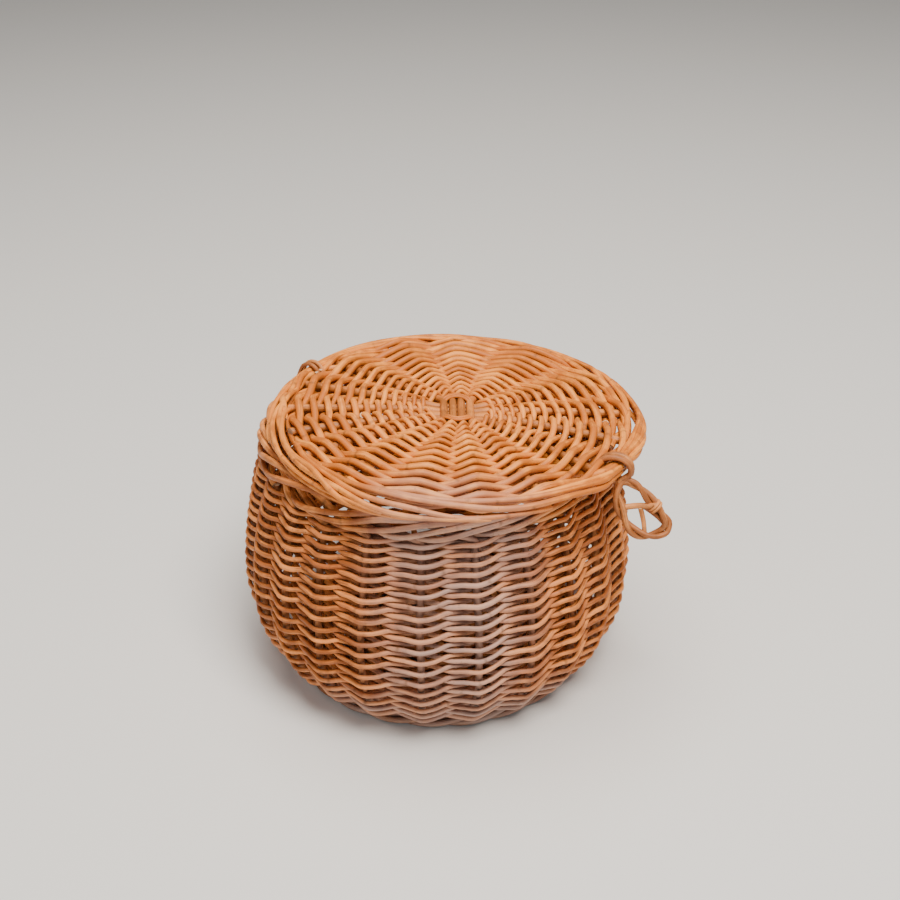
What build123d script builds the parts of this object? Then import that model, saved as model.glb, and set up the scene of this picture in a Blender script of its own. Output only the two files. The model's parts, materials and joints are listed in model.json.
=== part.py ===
"""A round lidded willow basket: a bellied woven body, a flat woven lid and a looped clasp.

Millimetres, +Z up. The origin is the centre of the base, on the plane that the foot stands on.
The clasp is at the right of the front, and the lid's hinge is opposite it, at the left of the back.
"""

from build123d import *
from math import acos, asin, atan2, cos, degrees, hypot, radians, sin
import os

os.makedirs("parts", exist_ok=True)

# Willow rods
stake_diameter = 5.5
siding_diameter = 3.8
base_stick_diameter = 7.0
lid_stick_diameter = 6.2
lid_weaver_diameter = 3.4
foot_rod_diameter = 4.2
gap = 0.1  # room between rods that cross
stick_bend_radius = 10.0

# Body: the stakes bend up from the base, swell to the belly and lean in to the border
belly_radius = 150.0
belly_height = 77.0
base_height = 10.0  # middle plane of the base sticks
turn_up_radius = 12.0
turn_up_angle = 50.0
rim_lean_radius = 278.8
stake_top_height = 173.8
stake_inner_end = 84.0
stake_count = 24
stake_turn = 10.0  # angle of stake 1
stake_shifts = {16: -1.5, 17: -2.0, 19: 1.5, 20: 2.7, 21: 2.0, 22: 0.5}  # uneven stakes at the front

# Body weave
siding_rows = 19
first_row_rise = 7.0  # along the stake, above the turn-up
row_pitch = 11.05  # between the lowest two rows
row_pitch_loss = 0.267  # each pitch is this much narrower than the one below it

# Body border: a round bundle of laid-down stake tops
border_radius = 123.5
border_height = 182.5
border_rod_diameter = 5.0
border_rod_pitch = 4.0

# Base
base_sticks_each_way = 3
base_stick_end = 110.0
base_turn = 2.5  # angle of the first lengthwise stick
base_fan = 30.0  # angle between neighbouring stick ends
base_row_radius = 24.0
base_row_pitch = 7.6
base_rows = 12
binding_radius = 18.7
foot_radius = 114.8
foot_rod_spread = 2.3
foot_flat_height = 2.0
foot_top_height = 5.0

# Lid
lid_x = 15.0
lid_y = -6.5
lid_height = 202.0
lid_roll = 2.0  # down to the right
lid_pitch = 1.7  # down to the back
lid_border_radius = 130.0
lid_border_rod_diameter = 4.6
lid_border_rod_pitch = 3.8
lid_stick_end = 123.0
lid_stick_spacing = 6.4
lid_row_radius = 22.4
lid_row_pitch = 6.45  # between the two rows nearest the middle
lid_row_pitch_growth = 0.44  # each pitch is this much wider than the one inside it
lid_rows = 12
lid_rows_in_inner_panel = 6
back_ends = (138.0, 111.0, 90.0, 60.0)  # where the fore-and-aft sticks end, from left to right
front_ends = (228.0, 255.0, 276.0, 297.0)
left_ends = (158.0, 177.0, 194.0, 211.0)  # where the cross sticks end, from back to front
right_ends = (27.0, 5.0, -15.0, -39.0)

# Hinge and clasp, by their angle round the lid
hinge_angle = 149.5
hinge_rod_diameter = 2.8
hinge_upper_radius = 8.6
hinge_lower_radius = 8.1
hinge_loop_offset = 2.8
clasp_angle = -33.0
clasp_rod_diameter = 4.0
clasp_ring_radius = 9.2
clasp_hang = 31.5  # how far the clasp stands out from straight down
clasp_turn = 0.0  # heading of the loop's width
clasp_lean = 3.5  # of the loop to the right, in its own plane
clasp_neck = 13.4
clasp_neck_radius = 4.4
clasp_bow = 42.0
clasp_bow_radius = 12.6
clasp_bar = 32.0
clasp_bar_half = 10.5
clasp_bar_slant = 20.0
clasp_bar_diameter = 3.8
clasp_brace_diameter = 2.6
clasp_braces = (  # two thin rods from the bar to the loop's end: away from the lid, then to the right
    ((32.9, 2.5), (54.1, -3.5)),
    ((34.0, 5.5), (49.7, 10.0)),
)


def direction(angle):
    """The level unit vector at an angle from +X."""
    return Vector(cos(radians(angle)), sin(radians(angle)), 0)


def upright_plane(angle):
    """The plane through the basket's axis at an angle: local x is radius, local y is height."""
    return Plane(origin=(0, 0, 0), x_dir=direction(angle), z_dir=direction(angle - 90))


# The stake's line in its own upright plane: a level end, the turn-up, the belly and the lean
weave_offset = (stake_diameter + siding_diameter) / 2 + gap
stake_belly_radius = belly_radius - weave_offset - siding_diameter / 2
turn_sine = sin(radians(turn_up_angle))
turn_cosine = cos(radians(turn_up_angle))
belly_rise = belly_height - base_height - turn_up_radius * (1 - turn_cosine)
belly_bend_radius = belly_rise / turn_cosine
turn_up_start = stake_belly_radius - belly_bend_radius * (1 - turn_sine) - turn_up_radius * turn_sine
belly_length = belly_bend_radius * radians(90 - turn_up_angle)


def lean_angle(height):
    """How far round the upper bend a stake has gone at a height above the belly."""
    return degrees(asin((height - belly_height) / rim_lean_radius))


def stake_point(length):
    """Radius, height and outward normal's angle on a stake, by length from the top of the turn-up."""
    if length < belly_length:
        bend, angle = belly_bend_radius, degrees((length - belly_length) / belly_bend_radius)
    else:
        bend, angle = rim_lean_radius, degrees((length - belly_length) / rim_lean_radius)
    radius = stake_belly_radius - bend + bend * cos(radians(angle))
    height = belly_height + bend * sin(radians(angle))
    return radius, height, angle


def beside(point, offset):
    """A point beside a stake, that far out from its line."""
    radius, height, angle = point
    return radius + offset * cos(radians(angle)), height + offset * sin(radians(angle))


def stick_line(plane, ends, reach, offset, along, straight_half):
    """A slath stick's line: straight through the middle, its two ends fanned out to their angles."""
    start, finish = [direction(end) * reach for end in ends]
    side = direction(along - 90) * offset
    run = direction(along) * straight_half
    corners = [(corner.X, corner.Y) for corner in (start, side + run, side - run, finish)]
    with BuildLine(plane) as line:
        if offset:
            FilletPolyline(*corners, radius=stick_bend_radius)
        else:
            Line(corners[0], corners[-1])
    return line.line


def bowed_loop(plane, near, near_radius, far, far_radius, rod_diameter):
    """A closed loop of rod along the plane's x: two round ends joined by straight tangents."""
    flare = degrees(asin((far_radius - near_radius) / (far - near)))
    tangent_x, tangent_y = -sin(radians(flare)), cos(radians(flare))
    with BuildPart() as loop:
        with BuildLine(plane) as half:
            CenterArc((near, 0), near_radius, 180, flare - 90)
            Line(
                (near + near_radius * tangent_x, near_radius * tangent_y),
                (far + far_radius * tangent_x, far_radius * tangent_y),
            )
            CenterArc((far, 0), far_radius, 90 + flare, -90 - flare)
        with BuildSketch(Plane(origin=half.line @ 0, z_dir=half.line % 0)):
            Circle(rod_diameter / 2)
        sweep(path=half.line)
        mirror(about=Plane(origin=plane.origin, x_dir=plane.x_dir, z_dir=plane.y_dir))
    return loop.part


# ---- Base ----
base_plane = Plane.XY.offset(base_height)
base_half_square = base_sticks_each_way * (base_stick_diameter + 2 * gap) / 2
base_straight_half = base_half_square + stick_bend_radius / 2
slath_names = ("lengthwise", "crosswise")
for way, name in enumerate(slath_names):
    along = base_turn + 90 * way
    lap_side = base_stick_diameter / 2 if way == 0 else -base_stick_diameter / 2
    with BuildPart() as base_sticks:
        for number in range(base_sticks_each_way):
            place = number - (base_sticks_each_way - 1) / 2
            offset = place * (base_stick_diameter + gap)
            ends = (along - base_fan * place, along + 180 + base_fan * place)
            line = stick_line(base_plane, ends, base_stick_end, offset, along, base_straight_half)
            with BuildSketch(Plane(origin=line @ 0, z_dir=line % 0)):
                Circle(base_stick_diameter / 2)
            sweep(path=line)
        with Locations(base_plane.offset(lap_side).location * Location((0, 0, 0), (0, 0, base_turn))):
            lap = 2 * base_half_square
            Box(lap, lap, base_stick_diameter + gap, mode=Mode.SUBTRACT)
    base_sticks.part.label = f"base_sticks_{name}"
    export_step(base_sticks.part, f"parts/{base_sticks.part.label}.step")

base_weave_offset = (base_stick_diameter + siding_diameter) / 2 + gap
with BuildPart() as base_binding:
    with BuildSketch(Plane.XZ):
        for side in (-1, 1):
            with Locations((binding_radius, base_height + side * base_weave_offset)):
                Circle(siding_diameter / 2)
    revolve(axis=Axis.Z)
base_binding.part.label = "base_binding"
export_step(base_binding.part, "parts/base_binding.step")

with BuildPart() as base_weave:
    with BuildSketch(Plane.XZ):
        for row in range(base_rows):
            for side in (-1, 1):
                radius = base_row_radius + row * base_row_pitch
                with Locations((radius, base_height + side * base_weave_offset)):
                    Circle(siding_diameter / 2)
    revolve(axis=Axis.Z)
base_weave.part.label = "base_weave"
export_step(base_weave.part, "parts/base_weave.step")

# The foot is three rods waled round under the stakes; the lower two are worn flat
with BuildPart() as foot_wale:
    with BuildSketch(Plane.XZ):
        with Locations((foot_radius - foot_rod_spread, foot_flat_height)):
            Circle(foot_rod_diameter / 2)
        with Locations((foot_radius + foot_rod_spread, foot_flat_height)):
            Circle(foot_rod_diameter / 2)
        with Locations((foot_radius, -foot_rod_diameter / 2)):
            Rectangle(4 * foot_rod_diameter, foot_rod_diameter, mode=Mode.SUBTRACT)
        with Locations((foot_radius, foot_top_height)):
            Circle(foot_rod_diameter / 2)
    revolve(axis=Axis.Z)
foot_wale.part.label = "foot_wale"
export_step(foot_wale.part, "parts/foot_wale.step")

# ---- Body ----
belly_centre = (stake_belly_radius - belly_bend_radius, belly_height)
lean_centre = (stake_belly_radius - rim_lean_radius, belly_height)
for number in range(1, stake_count + 1):
    plane = upright_plane(stake_turn + (number - 1) * 360 / stake_count + stake_shifts.get(number, 0))
    with BuildPart() as stake:
        with BuildLine(plane) as line:
            Line((stake_inner_end, base_height), (turn_up_start, base_height))
            CenterArc((turn_up_start, base_height + turn_up_radius), turn_up_radius, -90, turn_up_angle)
            CenterArc(belly_centre, belly_bend_radius, turn_up_angle - 90, 90 - turn_up_angle)
            CenterArc(lean_centre, rim_lean_radius, 0, lean_angle(stake_top_height))
        with BuildSketch(Plane(origin=line.line @ 0, z_dir=line.line % 0)):
            Circle(stake_diameter / 2)
        sweep(path=line.line)
    stake.part.label = f"stake_{number:02d}"
    export_step(stake.part, f"parts/{stake.part.label}.step")

# Each row is one pair of weavers, one outside the stakes and one inside
for row in range(siding_rows):
    point = stake_point(first_row_rise + row * row_pitch - row_pitch_loss * row * (row - 1) / 2)
    with BuildPart() as siding_row:
        with BuildSketch(Plane.XZ):
            with Locations(beside(point, weave_offset), beside(point, -weave_offset)):
                Circle(siding_diameter / 2)
        revolve(axis=Axis.Z)
    siding_row.part.label = f"siding_row_{row + 1:02d}"
    export_step(siding_row.part, f"parts/{siding_row.part.label}.step")

with BuildPart() as body_border:
    with BuildSketch(Plane.XZ):
        with Locations((border_radius, border_height)):
            Circle(border_rod_diameter / 2)
            with PolarLocations(border_rod_pitch, 6):
                Circle(border_rod_diameter / 2)
    revolve(axis=Axis.Z)
body_border.part.label = "body_border"
export_step(body_border.part, "parts/body_border.step")

# ---- Lid ----
lid_right = Vector(cos(radians(lid_roll)), 0, -sin(radians(lid_roll)))
lid_back = Vector(0, cos(radians(lid_pitch)), -sin(radians(lid_pitch)))
lid_up = lid_right.cross(lid_back)
lid_plane = Plane(origin=(lid_x, lid_y, lid_height), x_dir=lid_right, z_dir=lid_up)
lid_section = Plane(origin=lid_plane.origin, x_dir=lid_right, z_dir=-lid_plane.y_dir)
lid_axis = Axis(lid_plane.origin, lid_up)
lid_half_square = len(back_ends) * lid_stick_spacing / 2
lid_straight_half = lid_half_square + stick_bend_radius / 2
lid_lap = 2 * lid_half_square
lid_slath = (
    ("fore_and_aft", 90, tuple(zip(back_ends, front_ends)), -1),
    ("across", 0, tuple(zip(right_ends, left_ends)), 1),
)
for name, along, end_pairs, cut_side in lid_slath:
    with BuildPart() as lid_sticks:
        for number, ends in enumerate(end_pairs):
            offset = (number - (len(end_pairs) - 1) / 2) * lid_stick_spacing
            line = stick_line(lid_plane, ends, lid_stick_end, offset, along, lid_straight_half)
            with BuildSketch(Plane(origin=line @ 0, z_dir=line % 0)):
                Circle(lid_stick_diameter / 2)
            sweep(path=line)
        with Locations(lid_plane.offset(cut_side * lid_stick_diameter / 2)):
            Box(lid_lap, lid_lap, lid_stick_diameter + gap, mode=Mode.SUBTRACT)
    lid_sticks.part.label = f"lid_sticks_{name}"
    export_step(lid_sticks.part, f"parts/{lid_sticks.part.label}.step")

lid_weave_offset = (lid_stick_diameter + lid_weaver_diameter) / 2 + gap
lid_row_radii = [
    lid_row_radius + row * lid_row_pitch + lid_row_pitch_growth * row * (row - 1) / 2
    for row in range(lid_rows)
]
lid_panels = (
    ("lid_binding", [binding_radius]),
    ("lid_weave_inner", lid_row_radii[:lid_rows_in_inner_panel]),
    ("lid_weave_outer", lid_row_radii[lid_rows_in_inner_panel:]),
)
for name, radii in lid_panels:
    with BuildPart() as lid_panel:
        with BuildSketch(lid_section):
            for radius in radii:
                with Locations((radius, lid_weave_offset), (radius, -lid_weave_offset)):
                    Circle(lid_weaver_diameter / 2)
        revolve(axis=lid_axis)
    lid_panel.part.label = name
    export_step(lid_panel.part, f"parts/{name}.step")

with BuildPart() as lid_border:
    with BuildSketch(lid_section):
        with Locations((lid_border_radius, 0)):
            Circle(lid_border_rod_diameter / 2)
            with PolarLocations(lid_border_rod_pitch, 6):
                Circle(lid_border_rod_diameter / 2)
    revolve(axis=lid_axis)
lid_border.part.label = "lid_border"
export_step(lid_border.part, "parts/lid_border.step")

# ---- Hinge: two loops, each round the lid's border and the body's border ----
hinge_centre = lid_plane.from_local_coords(direction(hinge_angle) * lid_border_radius)
hinge_out = direction(hinge_angle)
hinge_along = direction(hinge_angle + 90)
for name, side in (("left", 1), ("right", -1)):
    upper_centre = hinge_centre + hinge_along * (side * hinge_loop_offset)
    across = upper_centre.dot(hinge_along)
    lower_centre = direction(hinge_angle + 90 - degrees(acos(across / border_radius))) * border_radius
    lower_centre += Vector(0, 0, border_height)
    down = lower_centre - upper_centre
    loop_plane = Plane(origin=upper_centre, x_dir=down, z_dir=hinge_along)
    with BuildPart() as hinge_loop:
        add(bowed_loop(
            loop_plane, 0, hinge_upper_radius, down.length, hinge_lower_radius, hinge_rod_diameter
        ))
    hinge_loop.part.label = f"hinge_loop_{name}"
    export_step(hinge_loop.part, f"parts/{hinge_loop.part.label}.step")

# ---- Clasp: a ring round the lid's border, and a long bowed loop with a bar and two braces ----
clasp_centre = lid_plane.from_local_coords(direction(clasp_angle) * lid_border_radius)
clasp_out = direction(clasp_angle)
hang = clasp_out * sin(radians(clasp_hang)) - Vector(0, 0, cos(radians(clasp_hang)))
ring_plane = Plane(origin=clasp_centre, x_dir=clasp_out, z_dir=(0, 0, 1))
loop_plane = Plane(origin=clasp_centre, x_dir=hang, z_dir=hang.cross(direction(clasp_turn)))
loop_plane = loop_plane.rotated((0, 0, clasp_lean))
bar_along = loop_plane.x_dir * sin(radians(clasp_bar_slant)) + loop_plane.y_dir * cos(radians(clasp_bar_slant))
bar_plane = Plane(origin=loop_plane.from_local_coords((clasp_bar, 0)), z_dir=bar_along)
with BuildPart() as clasp_loop:
    add(bowed_loop(loop_plane, clasp_neck, clasp_neck_radius, clasp_bow, clasp_bow_radius, clasp_rod_diameter))
    with BuildSketch(bar_plane):
        Circle(clasp_bar_diameter / 2)
    extrude(amount=clasp_bar_half, both=True)
    for start, end in clasp_braces:
        with BuildLine(loop_plane) as brace:
            Line(start, end)
        with BuildSketch(Plane(origin=brace.line @ 0, z_dir=brace.line % 0)):
            Circle(clasp_brace_diameter / 2)
        sweep(path=brace.line)
    with BuildSketch(ring_plane):
        with Locations((clasp_ring_radius, 0)):
            Circle(clasp_rod_diameter / 2)
    revolve(axis=Axis(clasp_centre, ring_plane.y_dir))
clasp_loop.part.label = "clasp_loop"
export_step(clasp_loop.part, "parts/clasp_loop.step")
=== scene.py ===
"""The look of the wicker basket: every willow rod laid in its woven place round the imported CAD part.

Metres, in the CAD frame: +Z up, front is -Y. The stakes, the weave, the lid and the borders are
built as separate rods that pass over and under each other, with willow's colour, grain and scars.
"""

import json
import math

import bpy
import numpy as np
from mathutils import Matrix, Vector


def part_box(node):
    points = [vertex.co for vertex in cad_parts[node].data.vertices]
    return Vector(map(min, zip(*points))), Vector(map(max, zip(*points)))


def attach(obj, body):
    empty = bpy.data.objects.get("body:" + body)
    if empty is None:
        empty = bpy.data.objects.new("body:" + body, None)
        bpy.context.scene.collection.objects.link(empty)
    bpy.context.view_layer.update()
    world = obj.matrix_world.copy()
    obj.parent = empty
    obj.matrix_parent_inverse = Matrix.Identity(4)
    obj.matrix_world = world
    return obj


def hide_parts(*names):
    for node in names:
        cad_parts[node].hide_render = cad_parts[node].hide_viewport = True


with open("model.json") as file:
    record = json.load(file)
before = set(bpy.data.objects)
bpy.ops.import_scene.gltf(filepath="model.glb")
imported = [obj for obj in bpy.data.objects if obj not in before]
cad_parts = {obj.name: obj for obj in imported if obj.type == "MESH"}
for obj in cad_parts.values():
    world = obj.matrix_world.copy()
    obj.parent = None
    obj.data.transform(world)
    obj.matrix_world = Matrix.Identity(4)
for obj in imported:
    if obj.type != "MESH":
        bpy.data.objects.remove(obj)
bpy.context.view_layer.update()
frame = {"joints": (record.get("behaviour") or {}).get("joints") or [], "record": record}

chance = np.random.default_rng(11)
mm = 0.001
full_turn = 2 * math.pi

# Willow rods
stake_radius = 2.75 * mm
siding_radius = 1.9 * mm
base_stick_radius = 3.5 * mm
lid_stick_radius = 3.0 * mm
weave_gap = 0.1 * mm
rod_sides = 10
rod_ovality = 0.05
scar_spacing = 46 * mm
scar_length = 3 * mm
scar_swelling = 0.04

# Body
stake_inner_end = 84 * mm
turn_up_radius = 12 * mm
first_row_rise = 7 * mm

# Slaths: how far out the sticks of the base and the lid reach, and their ends in degrees round it
base_stick_end = 110 * mm
base_turn = 2.5
base_fan = 30
base_stick_spacing = 7.1 * mm
lid_stick_end = 123 * mm
lid_stick_spacing = 6.4 * mm
back_ends = (138, 111, 90, 60)
front_ends = (228, 255, 276, 297)
left_ends = (158, 177, 194, 211)
right_ends = (27, 5, -15, -39)
stick_bend = 10 * mm

# The lid's border: its rods' travel in degrees, and in mm how wide, deep and tightly held they lie
lid_border_travel = 136
lid_border_wide = 6.8
lid_border_deep = 4.4
lid_border_held = 3.9

# Rows of the lid and the base
lid_row_radius = 22.4 * mm
lid_row_pitch = 6.45 * mm
lid_row_growth = 0.44 * mm
lid_dome = 3.5 * mm
base_row_radius = 24 * mm
base_row_pitch = 7.6 * mm
base_rows = 12


# ---- Reading the frame ----
def box(node):
    """The lowest and highest corner of a CAD node, as arrays."""
    low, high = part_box(node)
    return np.array(low), np.array(high)


def unit(vector):
    """The vector, one long."""
    return vector / np.linalg.norm(vector)


def joint(name):
    """A joint's point and the unit vector of its axis."""
    found = [joint for joint in frame["joints"] if joint["name"] == name][0]
    return np.array(found["pos_m"], float), unit(np.array(found["axis"], float))


def nodes_named(start):
    """The CAD nodes whose names start so, in order."""
    return sorted(part["node"] for part in frame["record"]["subparts"] if part["node"].startswith(start))


class Course:
    """The line of a stake in its upright plane, read from the rows of weave on it.

    At each row it has a radius, a height, a lean (the slope of the wall's outward normal) and the
    pitch to the next row.
    """

    def __init__(self):
        boxes = [box(node) for node in siding_nodes]
        outer = np.array([(high[0] - low[0]) / 2 for low, high in boxes])
        height = np.array([(high[2] + low[2]) / 2 for low, high in boxes])
        half_height = np.array([(high[2] - low[2]) / 2 for low, high in boxes])
        offset = stake_radius + siding_radius + weave_gap
        side = np.where(np.arange(len(boxes)) < np.argmax(outer), -1, 1)
        self.lean = side * np.arcsin(np.clip((half_height - siding_radius) / offset, 0, 1))
        self.radius = outer - siding_radius - offset * np.cos(self.lean)
        self.height = height
        self.offset = offset
        steps = np.hypot(np.diff(self.radius), np.diff(height))
        self.pitch = np.gradient(np.concatenate([[0], np.cumsum(steps)]))


siding_nodes = nodes_named("siding_row_")
stake_nodes = nodes_named("stake_")
siding_rows = len(siding_nodes)
stake_count = len(stake_nodes)
course = Course()
stake_middles = [sum(box(node)) / 2 for node in stake_nodes]
stake_turns = np.array([math.atan2(middle[1], middle[0]) % full_turn for middle in stake_middles])
base_low, base_high = box("base_sticks_lengthwise")
base_height = (base_low[2] + base_high[2]) / 2
border_low, border_high = box("body_border")
border_radius = border_high[0] - (border_high[2] - border_low[2]) / 2 - 0.5 * mm
border_height = (border_low[2] + border_high[2]) / 2
hinge_point, hinge_axis = joint("lid_hinge")
clasp_point, clasp_axis = joint("clasp_swing")
lid_centre = sum(box("lid_border")) / 2
lid_up = unit(np.cross(hinge_point - lid_centre, hinge_axis))
lid_right = unit(np.array([lid_up[2], 0.0, -lid_up[0]]))
lid_back = np.cross(lid_up, lid_right)
lid_border_radius = np.linalg.norm(hinge_point - lid_centre)


def on_lid(points):
    """Points given as right, back and up from the lid's centre, in the frame."""
    right, back, up = np.moveaxis(np.asarray(points, float), -1, 0)
    return lid_centre + right[..., None] * lid_right + back[..., None] * lid_back + up[..., None] * lid_up


def lid_angle(point):
    """The angle of a point round the lid."""
    return math.atan2((point - lid_centre).dot(lid_back), (point - lid_centre).dot(lid_right))


def polar(radius, angle, height):
    """Points from radius, angle and height, each a number or an array."""
    radius, angle, height = np.broadcast_arrays(radius, angle, height)
    return np.stack([radius * np.cos(angle), radius * np.sin(angle), height], -1)


# ---- Curves ----
def ease(value):
    """0 to 1 with level ends."""
    value = np.clip(value, 0, 1)
    return value * value * (3 - 2 * value)


def drift(position, period, amount):
    """A slow uneven wander, the same after one period."""
    total = np.zeros_like(np.asarray(position, float))
    for waves in (1, 2, 3, 5):
        total += np.sin(full_turn * (waves * position / period + chance.random())) / waves**0.5
    return amount * total / 1.6


def through(knots, steps):
    """A smooth line through points, a Catmull-Rom curve with that many steps a span."""
    knots = np.asarray(knots, float)
    padded = np.vstack([2 * knots[0] - knots[1], knots, 2 * knots[-1] - knots[-2]])
    t = np.linspace(0, 1, steps, endpoint=False)[:, None]
    spans = []
    for a, b, c, d in zip(padded, padded[1:], padded[2:], padded[3:]):
        square = (2 * a - 5 * b + 4 * c - d) * t**2
        cube = (3 * b - a - 3 * c + d) * t**3
        spans.append(0.5 * (2 * b + (c - a) * t + square + cube))
    return np.vstack(spans + [knots[-1:]])


def rounded(corners, bend, steps=6):
    """A line through corners with each inner corner rounded, starting about bend before it."""
    corners = np.asarray(corners, float)
    line = [corners[:1]]
    t = np.linspace(0, 1, steps)[:, None]
    for before, corner, after in zip(corners, corners[1:], corners[2:]):
        enter = corner + unit(before - corner) * bend
        leave = corner + unit(after - corner) * bend
        line.append((1 - t) ** 2 * enter + 2 * t * (1 - t) * corner + t**2 * leave)
    line.append(corners[-1:])
    return np.vstack(line)


def spread(points, spacing):
    """The same line with its points evenly spaced."""
    steps = np.linalg.norm(np.diff(points, axis=0), axis=1)
    travel = np.concatenate([[0], np.cumsum(steps)])
    even = np.linspace(0, travel[-1], max(3, int(travel[-1] / spacing) + 1))
    return np.stack([np.interp(even, travel, points[:, axis]) for axis in range(3)], -1)


# ---- Rods ----
def frames_along(points):
    """Tangents, and two directions across the line that turn as little as they can."""
    tangent = np.gradient(points, axis=0)
    tangent /= np.linalg.norm(tangent, axis=1)[:, None]
    start = np.cross(tangent[0], (0.3, 0.2, 1.0))
    across = [unit(start)]
    for direction in tangent[1:]:
        side = across[-1] - direction * across[-1].dot(direction)
        across.append(unit(side))
    across = np.array(across)
    return tangent, across, np.cross(tangent, across)


class Bundle:
    """Rods that make one piece of the basket."""

    def __init__(self):
        self.points, self.faces, self.grain, self.tint, self.cut = [], [], [], [], []
        self.count = 0

    def add(self, points, grain, tint, cut, faces):
        self.points.append(points)
        self.grain.append(grain)
        self.tint.append(np.broadcast_to(tint, (len(points), 3)))
        self.cut.append(np.full(len(points), float(cut)))
        self.faces.extend((np.asarray(faces) + self.count).tolist())
        self.count += len(points)

    def rod(self, points, start_radius, end_radius=None, tint=None, slant=0.5, fullness=1.0):
        """A round rod along a line, tapering from one radius to the other, with slanting cut ends.

        fullness multiplies the radius, point by point.
        """
        end_radius = start_radius if end_radius is None else end_radius
        tint = chance.random(3) if tint is None else tint
        points = np.asarray(points, float)
        count = len(points)
        travel = np.concatenate([[0], np.cumsum(np.linalg.norm(np.diff(points, axis=0), axis=1))])
        radius = (start_radius + (end_radius - start_radius) * travel / travel[-1]) * fullness
        scars = np.cumsum(chance.uniform(0.6, 1.5, int(travel[-1] / scar_spacing) + 2)) * scar_spacing
        swelling = np.exp(-(((travel[:, None] - scars) / scar_length) ** 2)).sum(1)
        radius = radius * (1 + scar_swelling * swelling)
        tangent, across, over = frames_along(points)
        angle = np.linspace(0, full_turn, rod_sides, endpoint=False)
        oval = 1 + rod_ovality * np.cos(2 * angle + chance.uniform(0, full_turn))
        side_x = radius[:, None] * (oval * np.cos(angle))
        side_y = radius[:, None] * (oval * np.sin(angle))
        rings = points[:, None] + side_x[..., None] * across[:, None] + side_y[..., None] * over[:, None]
        lean = slant * np.cos(angle + chance.uniform(0, full_turn))
        rings[0] += tangent[0] * (radius[0] * lean)[:, None]
        rings[-1] += tangent[-1] * (radius[-1] * lean)[:, None]
        shift = chance.uniform(0, 5)
        along = np.broadcast_to(travel[:, None], side_x.shape)
        grain = np.stack([side_x + shift, side_y, along + shift], -1)
        ring, side = np.meshgrid(np.arange(count - 1), np.arange(rod_sides), indexing="ij")
        following = (side + 1) % rod_sides
        here = ring * rod_sides
        ahead = here + rod_sides
        quads = np.stack([here + side, here + following, ahead + following, ahead + side], -1)
        self.add(rings.reshape(-1, 3), grain.reshape(-1, 3), tint, 0, quads.reshape(-1, 4))
        for end, way in ((0, 1), (-1, -1)):
            rim = rings[end]
            middle = rim.mean(0) + tangent[end] * (-way * 0.15 * radius[end])
            order = np.arange(rod_sides)
            fan = np.stack([np.full(rod_sides, rod_sides), (order + (way > 0)) % rod_sides,
                            (order + (way < 0)) % rod_sides], -1)
            spots = np.vstack([grain[end], grain[end].mean(0)])
            self.add(np.vstack([rim, middle]), spots, tint, 1, fan)

    def piece(self, name, material, body, slot, *nodes):
        """The bundle as one object that rides a body and stands for CAD nodes. The slot is not used."""
        mesh = bpy.data.meshes.new(name)
        mesh.from_pydata(np.vstack(self.points).tolist(), [], self.faces)
        mesh.polygons.foreach_set("use_smooth", [True] * len(mesh.polygons))
        for label, values in (("grain", self.grain), ("tint", self.tint)):
            layer = mesh.attributes.new(label, "FLOAT_VECTOR", "POINT")
            layer.data.foreach_set("vector", np.vstack(values).astype(np.float32).ravel())
        layer = mesh.attributes.new("cut", "FLOAT", "POINT")
        layer.data.foreach_set("value", np.concatenate(self.cut).astype(np.float32))
        mesh.materials.append(material)
        mesh.update()
        obj = bpy.data.objects.new(name, mesh)
        bpy.context.scene.collection.objects.link(obj)
        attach(obj, body)
        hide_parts(*nodes)
        return obj


# ---- Willow ----
class Nodes:
    """A short way to write a material's nodes."""

    def __init__(self, name):
        self.material = bpy.data.materials.new(name)
        self.material.use_nodes = True
        self.tree = self.material.node_tree
        self.tree.nodes.clear()

    def add(self, kind, inputs=(), **settings):
        node = self.tree.nodes.new(kind)
        for key, value in settings.items():
            setattr(node, key, value)
        for key, value in dict(inputs).items():
            if isinstance(value, bpy.types.NodeSocket):
                self.tree.links.new(value, node.inputs[key])
            else:
                node.inputs[key].default_value = value
        return node

    def math(self, operation, first, second=0.0, third=0.0):
        node = self.add("ShaderNodeMath", {0: first, 1: second, 2: third}, operation=operation)
        return node.outputs[0]

    def fit(self, value, low, high, to_low=0.0, to_high=1.0):
        inputs = {"Value": value, "From Min": low, "From Max": high, "To Min": to_low, "To Max": to_high}
        return self.add("ShaderNodeMapRange", inputs, interpolation_type="SMOOTHSTEP").outputs[0]

    def mix(self, amount, first, second):
        node = self.add("ShaderNodeMix", data_type="RGBA")
        for socket, value in ((node.inputs[0], amount), (node.inputs[6], first), (node.inputs[7], second)):
            if isinstance(value, bpy.types.NodeSocket):
                self.tree.links.new(value, socket)
            else:
                socket.default_value = value
        return node.outputs[2]

    def noise(self, vector, scale, detail=2.0):
        inputs = {"Vector": vector, "Scale": scale, "Detail": detail, "Roughness": 0.55}
        return self.add("ShaderNodeTexNoise", inputs, noise_dimensions="3D").outputs[0]


# Painted sheen: the cool grey of a reflection, painted onto the front of the rods
painted_sheen_colour = (0.50, 0.37, 0.32, 1.0)
scar_colour = (0.115, 0.05, 0.022, 1.0)
cut_colour = (0.62, 0.44, 0.26, 1.0)
# Painted shade: the dark colour painted into hollows where rods lie close
painted_shade_colour = (0.085, 0.028, 0.008, 1.0)
# Where the painted sheen is centred, to the right of the middle
painted_sheen_centre = 12 * mm
shelter_reach = 16 * mm


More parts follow.
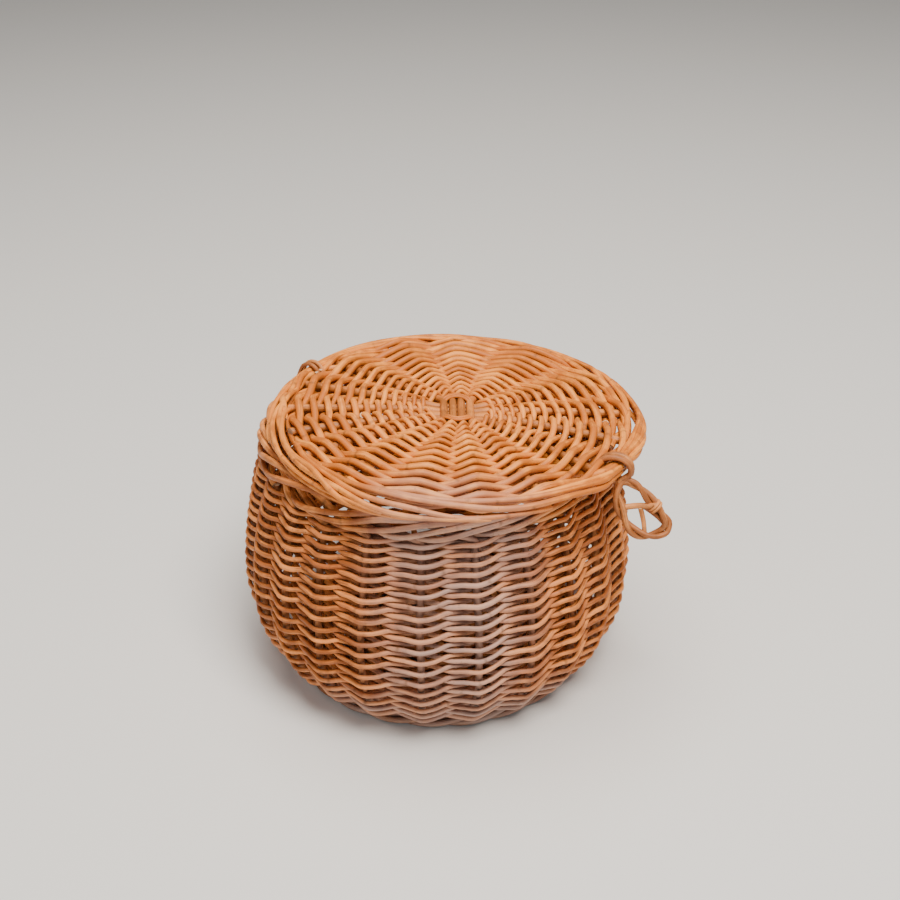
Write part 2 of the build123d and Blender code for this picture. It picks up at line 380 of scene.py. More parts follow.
def willow(name, light, dark, red, painted_sheen_amount, painted_shade_amount, roughness=0.46):
    """Stripped willow: streaks along each rod, leaf scars, rods of different tone, a painted cool sheen and
    painted shade in hollows.

    The two amounts: how grey the painted sheen at the front gets, and how dark the painted shade in the
    hollows gets.
    """
    nodes = Nodes(name)
    grain = nodes.add("ShaderNodeAttribute", attribute_name="grain").outputs["Vector"]
    tint = nodes.add("ShaderNodeAttribute", attribute_name="tint").outputs["Vector"]
    cut = nodes.add("ShaderNodeAttribute", attribute_name="cut").outputs["Fac"]
    tone = nodes.add("ShaderNodeSeparateXYZ", {0: tint})
    along = nodes.add("ShaderNodeSeparateXYZ", {0: grain})
    place = nodes.add("ShaderNodeTexCoord").outputs["Object"]
    stretch = nodes.add("ShaderNodeVectorMath", {0: grain, 1: (900.0, 900.0, 42.0)}, operation="MULTIPLY")
    streaks = nodes.noise(stretch.outputs[0], 1.0, 3.0)
    fine = nodes.add("ShaderNodeVectorMath", {0: grain, 1: (3600.0, 3600.0, 190.0)}, operation="MULTIPLY")
    fibres = nodes.noise(fine.outputs[0], 1.0, 2.0)
    patches = nodes.noise(place, 22.0, 2.0)
    stains = nodes.noise(place, 75.0, 3.0)

    # Tone: each rod its own, with streaks along it and stains over it
    rod_tone = nodes.math("MULTIPLY_ADD", tone.outputs[0], 0.78, -0.2)
    value = nodes.math("MULTIPLY_ADD", nodes.fit(streaks, 0.28, 0.72), 0.5, rod_tone)
    value = nodes.math("ADD", value, nodes.fit(stains, 0.3, 0.7, -0.32, 0.32))
    colour = nodes.mix(nodes.fit(value, 0.0, 1.0), dark, light)
    warm = nodes.math("MULTIPLY", nodes.fit(tone.outputs[1], 0.35, 1.0), nodes.fit(stains, 0.35, 0.7))
    colour = nodes.mix(nodes.math("MULTIPLY", warm, 0.75), colour, red)

    # Painted sheen: a cool grey reflection painted on the middle of the front, and wider near the floor
    spot = nodes.add("ShaderNodeSeparateXYZ", {0: place})
    aside = nodes.math("ABSOLUTE", nodes.math("SUBTRACT", spot.outputs[0], painted_sheen_centre))
    ahead = nodes.fit(spot.outputs[1], -0.085, -0.125)
    middle = nodes.math("MULTIPLY", nodes.fit(aside, 0.075, 0.035), ahead)
    low_down = nodes.math("MULTIPLY", nodes.fit(aside, 0.12, 0.07), nodes.fit(spot.outputs[2], 0.06, 0.02))
    low_down = nodes.math("MULTIPLY", low_down, nodes.fit(spot.outputs[1], -0.07, -0.105, 0.0, 1.2))
    painted_sheen = nodes.math("MAXIMUM", middle, low_down)
    painted_sheen = nodes.math("MULTIPLY", painted_sheen, nodes.fit(patches, 0.25, 0.6, 0.5, 1.0))
    own = nodes.fit(tone.outputs[2], 0.0, 0.8, painted_sheen_amount * 0.6, painted_sheen_amount)
    painted_sheen = nodes.math("MULTIPLY", painted_sheen, own)
    colour = nodes.mix(painted_sheen, colour, painted_sheen_colour)

    # Leaf scars: short dark marks now and then along a rod
    scar_at = nodes.math("MULTIPLY", along.outputs[2], 1 / scar_spacing)
    scars = nodes.add("ShaderNodeTexVoronoi", {"W": scar_at, "Scale": 1.0}, voronoi_dimensions="1D")
    mark = nodes.fit(scars.outputs["Distance"], 0.055, 0.0)
    mark = nodes.math("MULTIPLY", mark, nodes.fit(nodes.noise(place, 190.0, 1.0), 0.45, 0.62))
    specks = nodes.fit(nodes.noise(place, 520.0, 1.0), 0.70, 0.80)
    dirt = nodes.math("MAXIMUM", nodes.math("MULTIPLY", mark, 0.5), nodes.math("MULTIPLY", specks, 0.55))
    colour = nodes.mix(dirt, colour, scar_colour)
    colour = nodes.mix(nodes.math("MULTIPLY", cut, 0.8), colour, cut_colour)

    # Painted shade: darker where rods lie close over each other, from ambient occlusion
    shelter = nodes.add("ShaderNodeAmbientOcclusion", {"Distance": shelter_reach}, samples=4)
    painted_shade = nodes.math("MULTIPLY", nodes.fit(shelter.outputs["AO"], 0.55, 0.05), painted_shade_amount)
    colour = nodes.mix(painted_shade, colour, painted_shade_colour)

    gloss = nodes.fit(streaks, 0.25, 0.75, roughness - 0.07, roughness + 0.12)
    height = nodes.math("MULTIPLY_ADD", mark, -0.8, nodes.math("MULTIPLY_ADD", fibres, 0.35, streaks))
    bump = nodes.add("ShaderNodeBump", {"Strength": 0.5, "Distance": 0.00035, "Height": height})
    shader = nodes.add(
        "ShaderNodeBsdfPrincipled",
        {
            "Base Color": colour,
            "Roughness": gloss,
            "Normal": bump.outputs[0],
            "IOR": 1.48,
            "Specular IOR Level": 0.3,
        },
    )
    nodes.add("ShaderNodeOutputMaterial", {"Surface": shader.outputs[0]})
    return nodes.material


# The pale, dark and red tones of each willow
siding_tones = ((0.87, 0.305, 0.075, 1), (0.34, 0.095, 0.02, 1), (0.47, 0.115, 0.02, 1))
stake_tones = ((0.52, 0.20, 0.065, 1), (0.24, 0.08, 0.025, 1), (0.30, 0.09, 0.03, 1))
border_tones = ((0.92, 0.35, 0.085, 1), (0.34, 0.095, 0.02, 1), (0.48, 0.125, 0.024, 1))
lid_tones = ((0.95, 0.335, 0.05, 1), (0.52, 0.14, 0.016, 1), (0.64, 0.16, 0.018, 1))
stick_tones = ((0.72, 0.25, 0.05, 1), (0.36, 0.11, 0.02, 1), (0.46, 0.13, 0.025, 1))
base_tones = ((0.64, 0.28, 0.10, 1), (0.32, 0.11, 0.03, 1), (0.38, 0.11, 0.03, 1))
tie_tones = ((0.72, 0.28, 0.08, 1), (0.30, 0.095, 0.025, 1), (0.40, 0.115, 0.03, 1))
# The last two numbers of each: how strong the painted sheen at the front and the painted shade in hollows
# are
siding_willow = willow("siding_willow", *siding_tones, 0.62, 0.9)
stake_willow = willow("stake_willow", *stake_tones, 0.5, 0.8)
border_willow = willow("border_willow", *border_tones, 0.6, 0.75)
lid_willow = willow("lid_willow", *lid_tones, 0.3, 0.5)
stick_willow = willow("stick_willow", *stick_tones, 0.2, 0.5)
base_willow = willow("base_willow", *base_tones, 0.6, 0.8)
tie_willow = willow("tie_willow", *tie_tones, 0.4, 0.7)


# ---- Weaving ----
def bent(phase):
    """A weaver's swing across the spokes, 1 on one side and -1 on the other: straighter than a sine."""
    firmness = 0.985
    return np.arcsin(firmness * np.cos(math.pi * phase)) / math.asin(firmness)


def pair_line(first, last, spokes, ring, swing, lift, strand, steps=10, late=0, sag=0.0):
    """One weaver of a pair, from one phase to another, where a whole number is a spoke.

    spokes gives the angle at a phase, and ring gives radius, height and lean there. The higher late
    is, the nearer to the crossing the two change places, and sag is the dip in front of a spoke.
    """
    phase = np.linspace(first, last, int((last - first) * steps) + 1)
    radius, height, lean = ring(phase)
    side = 1 if strand == 0 else -1
    out = side * swing * bent(phase)
    crossing = np.sin(math.pi * phase)
    up = side * lift * crossing * np.abs(crossing) ** late - sag * np.clip(side * bent(phase), 0, 1)
    return phase, polar(
        radius + out * np.cos(lean) - up * np.sin(lean),
        spokes(phase),
        height + out * np.sin(lean) + up * np.cos(lean),
    )


def tuck(points, phase, last, inward):
    """The tip of a weaver turned inward, so that it lies beside the next one's butt."""
    amount = ease((phase - last + 0.9) / 0.7)
    return points + amount[:, None] * inward


# ---- Body ----
# The siding: shares of a row's pitch, limits, and the ranges of its rods' radii in mm
siding_lift = 0.27
siding_lift_most = 2.45 * mm
siding_sag = 0.21
siding_lateness = 5
siding_steps = 12
siding_butts = (1.78, 1.95)
siding_tips = (1.55, 1.7)
back_fullness = 0.5
tuck_depth = 3.6 * mm
stake_sway = [drift(np.arange(siding_rows), 31.0, 0.005) for _ in range(stake_count)]
stake_tint = chance.random((stake_count, 3))


def stake_angles(row):
    """The angles of the stakes where a row crosses them."""
    return stake_turns + np.array([sway[row] for sway in stake_sway])


def wrapped(angles):
    """The angle at a phase, from the angles at whole phases, running on past a full turn."""
    count = len(angles)
    turns = np.concatenate([angles - full_turn, angles, angles + full_turn, angles + 2 * full_turn])
    whole = np.arange(-count, 3 * count)
    return lambda phase: np.interp(phase, whole, turns)


def siding_row(row):
    """One row of pairing: two weavers that twist between the stakes, fuller ones at the back."""
    rods = Bundle()
    spokes = wrapped(stake_angles(row))
    rise = drift(np.arange(3 * stake_count), stake_count, 0.35 * mm)
    lean = course.lean[row]
    pitch = course.pitch[row]
    lift = min(siding_lift * pitch, siding_lift_most)
    sag = siding_sag * pitch
    fuller = back_fullness * ease((pitch - 7 * mm) / (3 * mm))

    def ring(phase):
        wander = np.interp(phase, np.arange(3 * stake_count), rise)
        radius = course.radius[row] - wander * math.sin(lean)
        return radius, course.height[row] + wander * math.cos(lean), lean

    for strand in range(2):
        first = float(chance.integers(0, stake_count // 2) * 2 + 1 - strand) + 0.3
        last = first + stake_count + 1.2
        swing = course.offset * chance.uniform(0.97, 1.02)
        phase, points = pair_line(
            first - 0.5, last, spokes, ring, swing, lift, strand, siding_steps, siding_lateness, sag
        )
        inward = -polar(1.0, spokes(phase), 0.0) * tuck_depth
        butt = chance.uniform(*siding_butts) * mm
        tip = chance.uniform(*siding_tips) * mm
        fullness = 1 + fuller * ease((np.sin(spokes(phase)) + 0.3) / 0.8)
        rods.rod(tuck(points, phase, last, inward), butt, tip, fullness=fullness)
    return rods.piece(f"weave_{row + 1:02d}", siding_willow, "basket", "siding_willow", siding_nodes[row])


def stake_profile():
    """Radius and height of a stake's line, from its inner end to its top."""
    first = np.array([course.radius[0], course.height[0]])
    lean = course.lean[0] - (course.lean[1] - course.lean[0]) * first_row_rise / course.pitch[0]
    middle_lean = (lean + course.lean[0]) / 2
    foot = first - first_row_rise * np.array([-math.sin(middle_lean), math.cos(middle_lean)])
    centre = foot - turn_up_radius * np.array([math.cos(lean), math.sin(lean)])
    angle = np.linspace(-math.pi / 2, lean, 7)
    bend = centre + turn_up_radius * np.stack([np.cos(angle), np.sin(angle)], -1)
    bend[:, 1] += base_height - bend[0, 1]
    level = np.array([[stake_inner_end, base_height]])
    rows = np.stack([course.radius, course.height], -1)
    top = rows[-1] + 2.5 * mm * np.array([-math.sin(course.lean[-1]), math.cos(course.lean[-1])])
    return np.vstack([level, bend[:-1], rows, top])


profile = stake_profile()


def stake(number):
    """A stake: level under the base weave, up through the rows, to where it turns into the border."""
    rods = Bundle()
    rows_from = len(profile) - 1 - siding_rows
    sway = np.concatenate([np.zeros(rows_from), stake_sway[number], stake_sway[number][-1:]])
    angle = stake_turns[number] + sway
    points = spread(through(polar(profile[:, 0], angle, profile[:, 1]), 4), 3.5 * mm)
    rods.rod(points, stake_radius, 2.5 * mm, stake_tint[number])
    node = stake_nodes[number]
    return rods.piece(f"{node}_rod", stake_willow, "basket", "stake_willow", node)


held_reach = math.radians(9)
slack_middle = math.radians(208)
slack_reach = math.radians(60)


def held(angle):
    """How tightly the hinge and the clasp hold the borders' rods at an angle, 0 to 1."""
    total = 0
    for point in (hinge_point, clasp_point):
        apart = (angle - lid_angle(point) + math.pi) % full_turn - math.pi
        total = total + np.exp(-((apart / held_reach) ** 4))
    return total


def slack(angle):
    """How loosely both borders' rods lie at an angle, 0 to 1: most at the left of the front."""
    apart = (angle - slack_middle + math.pi) % full_turn - math.pi
    return np.exp(-((apart / slack_reach) ** 4)) * (1 - held(angle))


# A laid-down stake in the border: degrees to the left of its stake, then mm out and up from the
# border's centre
border_course = (
    (-0.3, 2.9, -9.6),
    (2.0, 3.1, -6.6),
    (6.5, 1.6, -4.0),
    (14, -2.4, -0.6),
    (22, -1.6, 2.9),
    (31, 2.0, 4.7),
    (42, 4.7, 3.2),
    (53, 5.3, -0.4),
    (63, 4.7, -3.6),
    (72, 1.4, -4.9),
    (81, -2.8, -4.6),
    (90, -4.8, -3.0),
)


def body_border():
    """The stakes' tops, each laid down behind one stake, in front of two and in again."""
    rods = Bundle()
    tops = stake_angles(siding_rows - 1)
    for number in range(stake_count):
        knots = []
        wander = chance.normal(0, 0.7, (len(border_course), 2))
        reach = chance.uniform(0.88, 1.2)
        for place, ((turn, out, up), (out_more, up_more)) in enumerate(zip(border_course, wander)):
            loose = min(1.0, place / 3)
            angle = tops[number] - math.radians(turn * (1 + (reach - 1) * loose))
            up = up + up_more * loose + slack(angle) * max(0.0, 1.6 + 1.4 * up)
            out = out + out_more * loose + slack(angle) * max(0.0, 0.4 * out)
            radius = border_radius + out * mm
            knots.append(polar(radius, angle, border_height + up * mm))
        points = spread(through(knots, 8), 3 * mm)
        rods.rod(points, 2.45 * mm, chance.uniform(1.75, 2.0) * mm, stake_tint[number])
    return rods.piece("border_of_body", border_willow, "basket", "body_border_willow", "body_border")


# ---- Slaths ----
def stick_lines(along, ends, spacing, reach, half_square):
    """The lines of a slath's sticks one way, in the plane: straight in the middle, then fanned out."""
    lines = []
    direction = polar(1.0, math.radians(along), 0.0)
    side = polar(1.0, math.radians(along - 90), 0.0)
    for number, (start, finish) in enumerate(ends):
        offset = (number - (len(ends) - 1) / 2) * spacing * side
        run = direction * (half_square + stick_bend / 2)
        corners = [polar(reach, math.radians(start), 0.0), offset + run, offset - run,
                   polar(reach, math.radians(finish), 0.0)]
        lines.append(spread(rounded(corners, 0.7 * stick_bend), 3 * mm))
    return lines


def spoke_table(lines, radii):
    """The angles of the spokes at each radius, in order round the slath: one row of angles a radius."""
    arms = []
    for line in lines:
        middle = len(line) // 2
        arms += [line[middle:], line[: middle + 1][::-1]]
    arms.sort(key=lambda arm: math.atan2(arm[-1][1], arm[-1][0]))
    table = []
    for radius in radii:
        row = []
        for arm in arms:
            distance = np.hypot(arm[:, 0], arm[:, 1])
            x, y = np.interp(radius, distance, arm[:, 0]), np.interp(radius, distance, arm[:, 1])
            row.append(math.atan2(y, x))
        row = np.unwrap(np.array(row))
        table.append(row - full_turn * round((row[0] + math.pi / 2) / full_turn))
    return np.array(table)


lid_half_square = len(back_ends) * lid_stick_spacing / 2
fore_ends = tuple(zip(back_ends, front_ends))
cross_ends = tuple(zip(right_ends, left_ends))
fore_lines = stick_lines(90, fore_ends, lid_stick_spacing, lid_stick_end, lid_half_square)
cross_lines = stick_lines(0, cross_ends, lid_stick_spacing, lid_stick_end, lid_half_square)
base_half_square = 3 * (base_stick_spacing + weave_gap) / 2
base_lines = []
for way in range(2):
    along = base_turn + 90 * way
    fan = [(along - base_fan * place, along + 180 + base_fan * place) for place in (-1, 0, 1)]
    base_lines.append(stick_lines(along, fan, base_stick_spacing, base_stick_end, base_half_square))


def dome(points):
    """Height of the lid's gentle rise in the middle."""
    reach = np.hypot(points[..., 0], points[..., 1]) / lid_stick_end
    return lid_dome * np.clip(1 - reach**2, 0, 1)


def lid_sticks(name, lines, level):
    """Lid sticks one way, lapped in the middle: one set dips where the other rises."""
    rods = Bundle()
    for line in lines:
        distance = np.hypot(line[:, 0], line[:, 1])
        lap = 1 - ease((distance - lid_half_square) / (14 * mm))
        height = dome(line) + level * lap * 0.5 * lid_stick_radius
        points = on_lid(np.stack([line[:, 0], line[:, 1], height], -1))
        rods.rod(points, lid_stick_radius, lid_stick_radius)
    return rods.piece(name, stick_willow, "lid", "lid_stick_willow", name.replace("_rods", ""))


def panel(rows, radius_at, lines, height_at, stick_radius, lift, thickness, rods_a_strand, place=None):
    """Pairing round a slath as two long spiralling weavers, each made of several rods."""
    rods = Bundle()
    first_row, last_row = rows
    sampled = np.arange(first_row, last_row + 2)
    table = spoke_table(lines, [radius_at(row) for row in sampled])
    count = table.shape[1]

    def spokes(phase):
        row = np.clip(phase / count - first_row, 0, len(sampled) - 1.001)
        whole, part = np.floor(phase).astype(int), phase % 1
        angle = []
        for step in (whole, whole + 1):
            turn, spoke = step // count, step % count
            low = np.floor(row).astype(int)
            share = row - low
            here = table[low, spoke] * (1 - share) + table[low + 1, spoke] * share
            angle.append(here + full_turn * turn)
        return angle[0] * (1 - part) + angle[1] * part

    def ring(phase):
        radius = radius_at(phase / count)
        return radius, height_at(radius), math.pi / 2

    for strand in range(2):
        start = first_row * count + 0.5
        finish = (last_row + 1) * count - 0.5
        joins = np.linspace(start, finish, rods_a_strand + 1)
        joins[1:-1] = np.round(joins[1:-1] / 2) * 2 + 1.2 - strand
        for first, last in zip(joins, joins[1:]):
            overlap = 0.0 if last == finish else 1.0
            butt, tip = thickness(radius_at(first / count)), thickness(radius_at(last / count)) * 0.9
            swing = stick_radius + (butt + tip) / 2 - 0.15 * mm
            steps = 8 if first < 4 * count else 12
            phase, points = pair_line(first - 0.6, last + overlap, spokes, ring, swing, lift, strand, steps)
            inward = np.array([0, 0, -2 * tip]) * (overlap > 0)
            points = tuck(points, phase, last + overlap, inward)
            rods.rod(points if place is None else place(points), butt * chance.uniform(1.0, 1.06), tip)
    return rods


# ---- Lid ----
def lid_radius(row):
    """Radius of the lid's weave after that many rows."""
    return lid_row_radius + row * lid_row_pitch + lid_row_growth * row * (row - 1) / 2


def lid_height(radius):
    """Height of the lid's middle surface over its plane."""
    return lid_dome * np.clip(1 - (radius / lid_stick_end) ** 2, 0, 1)


def lid_thickness(radius):
    """Radius of the weavers, thin near the middle."""
    return 1.6 * mm + 1.25 * mm * np.clip((radius - 20 * mm) / (75 * mm), 0, 1)


def lid_weave():
    """The two panels of the lid's pairing."""
    for name, rows, rods_a_strand in (("inner", (0, 5), 2), ("outer", (6, 11), 4)):
        lift = 1.9 * mm if name == "inner" else 2.75 * mm
        rods = panel(
            rows, lid_radius, fore_lines + cross_lines, lid_height, lid_stick_radius, lift,
            lid_thickness, rods_a_strand, on_lid,
        )
        rods.piece(f"lid_pairing_{name}", lid_willow, "lid", "lid_willow", f"lid_weave_{name}")


def lid_binding():
    """The ties round the lid's slath."""
    rods = Bundle()
    for start, radius in ((40, 15.6 * mm), (220, 18.4 * mm)):
        angle = np.radians(np.linspace(start, start + 372, 130))
        arm = np.cos(2 * angle)
        square = 1 - 0.07 * np.cos(4 * angle)
        up = lid_height(radius) - 4.6 * mm * np.tanh(2.4 * arm)
        rods.rod(on_lid(polar(radius / square, angle, up)), 1.35 * mm, 1.2 * mm)
    return rods.piece("lid_ties", lid_willow, "lid", "lid_willow", "lid_binding")


def lid_border():
    """The lid's border: each stick's end laid along the edge, from its inner side to under its outer."""
    rods = Bundle()
    ends = spoke_table(fore_lines + cross_lines, [lid_stick_end * 0.99])[0]
    count = len(ends)
    even = ends.mean() + (np.arange(count) - (count - 1) / 2) * full_turn / count
    for number in range(count):
        reach = chance.uniform(0.85, 1.25)
        share = np.linspace(-0.04, 1, 80)
        turn = lid_border_travel * share * reach
        settle = ease(turn / 45)
        angle = ends[number] * (1 - settle) + even[number] * settle + np.radians(turn)
        tight = held(angle)
        section = np.radians(184 - 235 * share + drift(share, 1.2, 30) * (1 - tight))
        loose = (0.35 + 0.65 * slack(angle)) * (1 - tight)
        wide = lid_border_wide * (1 - tight) + lid_border_held * tight + drift(share, 1.1, 1.4) * loose
        deep = lid_border_deep * (1 - tight) + lid_border_held * tight + drift(share, 1.1, 1.3) * loose
        hang = slack(angle) * (3.4 - 3.4 * np.sin(section))
        start = ease(1 - turn / 9)
        out = (wide * np.cos(section) - 6.5 * start - 0.5 * (1 - tight)) * mm
        up = (deep * np.sin(section) - 0.8 * start - hang) * mm
        points = on_lid(polar(lid_border_radius + out, angle, up))
        rods.rod(spread(points, 3.5 * mm), 2.45 * mm, chance.uniform(1.7, 1.95) * mm)
    return rods.piece("border_of_lid", lid_willow, "lid", "lid_border_willow", "lid_border")


# ---- Base ----
def base_sticks(way, name, level):
    """Base sticks one way, lapped in the middle."""
    rods = Bundle()
    for line in base_lines[way]:
        distance = np.hypot(line[:, 0], line[:, 1])
        lap = 1 - ease((distance - base_half_square) / (16 * mm))
        height = base_height + level * lap * 0.5 * base_stick_radius
        rods.rod(np.stack([line[:, 0], line[:, 1], height], -1), base_stick_radius, base_stick_radius)
    return rods.piece(f"{name}_rods", base_willow, "basket", "base_stick_willow", name)


def base_radius(row):
    """Radius of the base's weave after that many rows."""
    return base_row_radius + row * base_row_pitch


def base_weave():
    """The base's pairing."""
    rods = panel((0, base_rows - 1), base_radius, base_lines[0] + base_lines[1],
                 lambda radius: np.full_like(radius, base_height), base_stick_radius, 1.95 * mm,
                 lambda radius: siding_radius, 8)
    return rods.piece("base_pairing", base_willow, "basket", "base_willow", "base_weave")


def base_binding():
    """The ties round the base's slath."""
    rods = Bundle()
    for start, radius in ((40, 15.4 * mm), (220, 18.9 * mm)):
        angle = np.radians(np.linspace(start, start + 372, 130))
        turned = angle - math.radians(base_turn)
        up = base_height - 5.4 * mm * np.tanh(2.4 * np.cos(2 * turned))
        square = 1 - 0.07 * np.cos(4 * turned)
        rods.rod(polar(radius / square, angle, up), 1.75 * mm, 1.6 * mm)
    return rods.piece("base_ties", base_willow, "basket", "base_willow", "base_binding")


def foot_wale():
    """Three rods twisted round under the turn-up, the ring that the basket stands on."""
    rods = Bundle()
    low, high = box("foot_wale")
    middle_height = 4.4 * mm
    radius = (high[0] - low[0]) / 2 - middle_height
    for strand in range(3):
        start = strand * full_turn / 3
        angle = np.linspace(start, start + full_turn * 1.03, 260)
        twist = angle * 8 + start
        out = 3.5 * mm * np.cos(twist)
        up = middle_height + 2.1 * mm * np.sin(twist)
        rods.rod(polar(radius + out, angle, up), 2.25 * mm, 2.0 * mm)
    return rods.piece("foot_rods", base_willow, "basket", "base_willow", "foot_wale")


# ---- Hinge and clasp ----
def bowed_loop(centre, run, across, near, near_radius, far, far_radius, steps=14):
    """A closed loop round two circles on a line, once round, as points."""
    flare = math.asin((far_radius - near_radius) / (far - near))
    near_angles = np.linspace(math.pi / 2 + flare, 1.5 * math.pi - flare, steps)
    far_angles = np.linspace(-math.pi / 2 - flare, math.pi / 2 + flare, steps)
    outline = np.vstack([
        np.stack([near + near_radius * np.cos(near_angles), near_radius * np.sin(near_angles)], -1),
        np.stack([far + far_radius * np.cos(far_angles), far_radius * np.sin(far_angles)], -1),
    ])
    outline = np.vstack([outline, outline[:1]])
    return centre + outline[:, :1] * run + outline[:, 1:] * across


hinge_upper_radius = 8.6 * mm
hinge_lower_radius = 8.1 * mm
clasp_hang = math.radians(31.5)
clasp_turn = 0.0
clasp_ring_radius = 9.7 * mm
clasp_rod_radius = 2.2 * mm
clasp_twist_radius = 2.1 * mm
clasp_ring_slant = 3.2
clasp_ring_stretch = 1.25
# The clasp's outline in its own plane, in mm: away from the lid's border, then to the right
clasp_outline = (
    (9.5, 2.0), (13, -5.5), (22, -9.0), (31, -10.2), (40, -9.9), (47.5, -7.4), (53, -2.0), (55.6, 5.0),
    (55.5, 11.5), (51.5, 15.4), (45, 15.0), (37, 13.2), (28, 11.0), (19, 8.2), (12.5, 4.0), (9.5, -2.5),
)


def hinge_loop(name):
    """A willow loop round the lid's border and the body's border."""
    low, high = box(name)
    middle = (low + high) / 2
    upper = hinge_point + hinge_axis * hinge_axis.dot(middle - hinge_point)
    down = 2 * (middle - upper)
    down -= hinge_axis * hinge_axis.dot(down)
    length = np.linalg.norm(down)
    run = down / length
    across = np.cross(hinge_axis, run)
    loop = bowed_loop(upper, run, across, 0.0, hinge_upper_radius, length, hinge_lower_radius)
    loop = spread(np.vstack([loop, loop[1:5]]), 2 * mm)
    shift = np.linspace(-0.5, 0.5, len(loop))[:, None] * hinge_axis * 1.6 * mm
    rods = Bundle()
    rods.rod(loop + shift, 1.55 * mm, 1.4 * mm)
    return rods.piece(f"{name}_rod", tie_willow, "basket", "tie_willow", name)


def clasp():
    """The clasp: two rods from round the lid's border, twisted into a long loop with a bar across it."""
    rods = Bundle()
    up = np.array([0.0, 0.0, 1.0])
    out = np.cross(up, clasp_axis)
    hang = out * math.sin(clasp_hang) - up * math.cos(clasp_hang)
    heading = polar(1.0, clasp_turn, 0.0)
    width = unit(heading - hang * hang.dot(heading))
    facing = np.cross(hang, width)

    def spot(away, right, forward=0.0):
        return clasp_point + (away * hang + right * width + forward * facing) * mm

    def ring(degrees, shift):
        angle = np.radians(degrees)[:, None]
        reach = np.cos(angle) * np.where(np.cos(angle) < 0, clasp_ring_stretch, 1.0)
        circle = clasp_ring_radius * (reach * out + np.sin(angle) * up)
        slanted = shift[:, None] - clasp_ring_slant * np.cos(angle)
        return clasp_point + circle + slanted * clasp_axis * mm

    line = spread(through([spot(away, right) for away, right in clasp_outline], 8), 6 * mm)
    tangent = np.gradient(line, axis=0)
    tangent /= np.linalg.norm(tangent, axis=1)[:, None]
    inward = np.cross(facing, tangent)
    for strand in range(2):
        twist = np.linspace(0.2, 0.2 + 2.6 * full_turn, len(line)) + math.pi * strand
        from_end = np.minimum(np.arange(len(line)), np.arange(len(line))[::-1])
        hug = clasp_twist_radius * ease((from_end[:, None] + 0.4) / 3)
        twined = line + hug * (np.cos(twist)[:, None] * inward + np.sin(twist)[:, None] * facing)
        if strand == 1:
            twined = twined[::-1]
        side = 1 - 2 * strand
        over = ring(np.arange(235, -30, -20), side * np.linspace(4.6, 0.3, 14))
        under = ring(np.arange(-72, -160, -20), -side * np.linspace(1.2, 2.4, 5))
        knots = np.vstack([over, twined, under])
        rods.rod(spread(through(knots, 6), 2 * mm), clasp_rod_radius, 2.0 * mm)
    bar = [(27.5, -11.5, -1.0), (28.4, -7, -2.4), (31.2, 2, -1.4), (34, 9, 1.4), (35.5, 14, 3.4)]
    rods.rod(through([spot(*place) for place in bar], 6), 2.2 * mm, 2.0 * mm, (0.9, 0.1, 0.1))
    coil = np.linspace(0, 2.2 * full_turn, 40)[:, None]
    along = unit(spot(40, 13.8) - spot(29, 11.2))
    side = np.cross(along, facing)
    wrap = spot(33.4, 12.2) + coil / full_turn * 2.3 * mm * along
    wrap = wrap + 4.3 * mm * (np.cos(coil) * facing + np.sin(coil) * side)
    rods.rod(wrap, 1.2 * mm, 1.1 * mm, (1.0, 0.0, 0.4))
    for top, bottom in (((32.6, 3.4), (54.2, -2.8)), ((33.6, 6.2), (54.0, 14.6))):
        bow = spot((top[0] + bottom[0]) / 2, (top[1] + bottom[1]) / 2 + 0.8, -1.2)
        rods.rod(through([spot(*top, -0.6), bow, spot(*bottom)], 8), 1.85 * mm, 1.65 * mm)
    return rods.piece("clasp_rods", tie_willow, "clasp", "tie_willow", "clasp_loop")


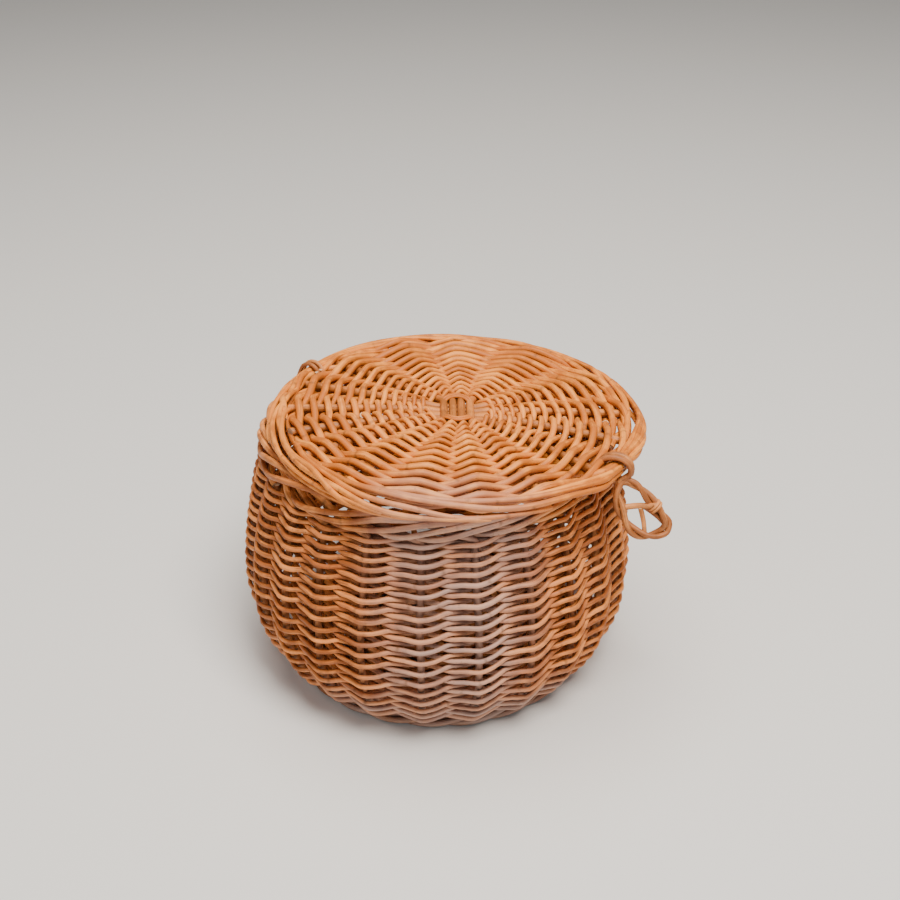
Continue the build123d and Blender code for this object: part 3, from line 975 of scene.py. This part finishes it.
def floor():
    """A plain pale floor."""
    half, drop = 8.0, 0.0002
    corners = [(-half, -half, -drop), (half, -half, -drop), (half, half, -drop), (-half, half, -drop)]
    mesh = bpy.data.meshes.new("floor")
    mesh.from_pydata(corners, [], [(0, 1, 2, 3)])
    nodes = Nodes("floor")
    shader = nodes.add("ShaderNodeBsdfPrincipled", {"Base Color": (0.74, 0.72, 0.69, 1), "Roughness": 0.7})
    nodes.add("ShaderNodeOutputMaterial", {"Surface": shader.outputs[0]})
    mesh.materials.append(nodes.material)
    obj = bpy.data.objects.new("floor", mesh)
    bpy.context.scene.collection.objects.link(obj)


def light(name, place, aim, size, power, colour):
    """A soft square light."""
    lamp = bpy.data.lights.new(name, "AREA")
    lamp.shape = "SQUARE"
    lamp.size = size
    lamp.energy = power
    lamp.color = colour
    obj = bpy.data.objects.new(name, lamp)
    obj.location = place
    heading = Vector(aim) - Vector(place)
    obj.rotation_euler = heading.to_track_quat("-Z", "Y").to_euler()
    bpy.context.scene.collection.objects.link(obj)


for row in range(siding_rows):
    siding_row(row)
for number in range(stake_count):
    stake(number)
body_border()
lid_sticks("lid_sticks_fore_and_aft_rods", fore_lines, 1)
lid_sticks("lid_sticks_across_rods", cross_lines, -1)
lid_weave()
lid_binding()
lid_border()
base_sticks(0, "base_sticks_lengthwise", 1)
base_sticks(1, "base_sticks_crosswise", -1)
base_weave()
base_binding()
foot_wale()
hinge_loop("hinge_loop_left")
hinge_loop("hinge_loop_right")
clasp()

floor()
light_aim = (0, 0, 0.1)
light("key", (0.5, -0.8, 2.2), light_aim, 0.9, 68, (1.0, 0.95, 0.88))
light("sheen", (0.15, -1.7, 1.2), light_aim, 0.6, 5, (0.92, 0.95, 1.0))
light("fill", (-1.6, -0.7, 1.3), light_aim, 1.6, 6, (1.0, 0.95, 0.9))
light("top", (-0.1, 0.1, 2.3), light_aim, 1.4, 40, (1.0, 0.96, 0.9))
world = bpy.data.worlds.new("studio")
bpy.context.scene.world = world
world.use_nodes = True
world.node_tree.nodes["Background"].inputs[0].default_value = (0.92, 0.92, 0.94, 1)
world.node_tree.nodes["Background"].inputs[1].default_value = 0.19

camera_place = (0, -0.838, 0.674)
camera_down = 0.542
camera_turn = -0.012
camera_lens = 52
camera_data = bpy.data.cameras.new("camera")
camera_data.sensor_width = 36
camera_data.lens = camera_lens
camera = bpy.data.objects.new("camera", camera_data)
camera.location = camera_place
camera.rotation_euler = (math.pi / 2 - camera_down, 0, camera_turn)
bpy.context.scene.collection.objects.link(camera)
bpy.context.scene.camera = camera
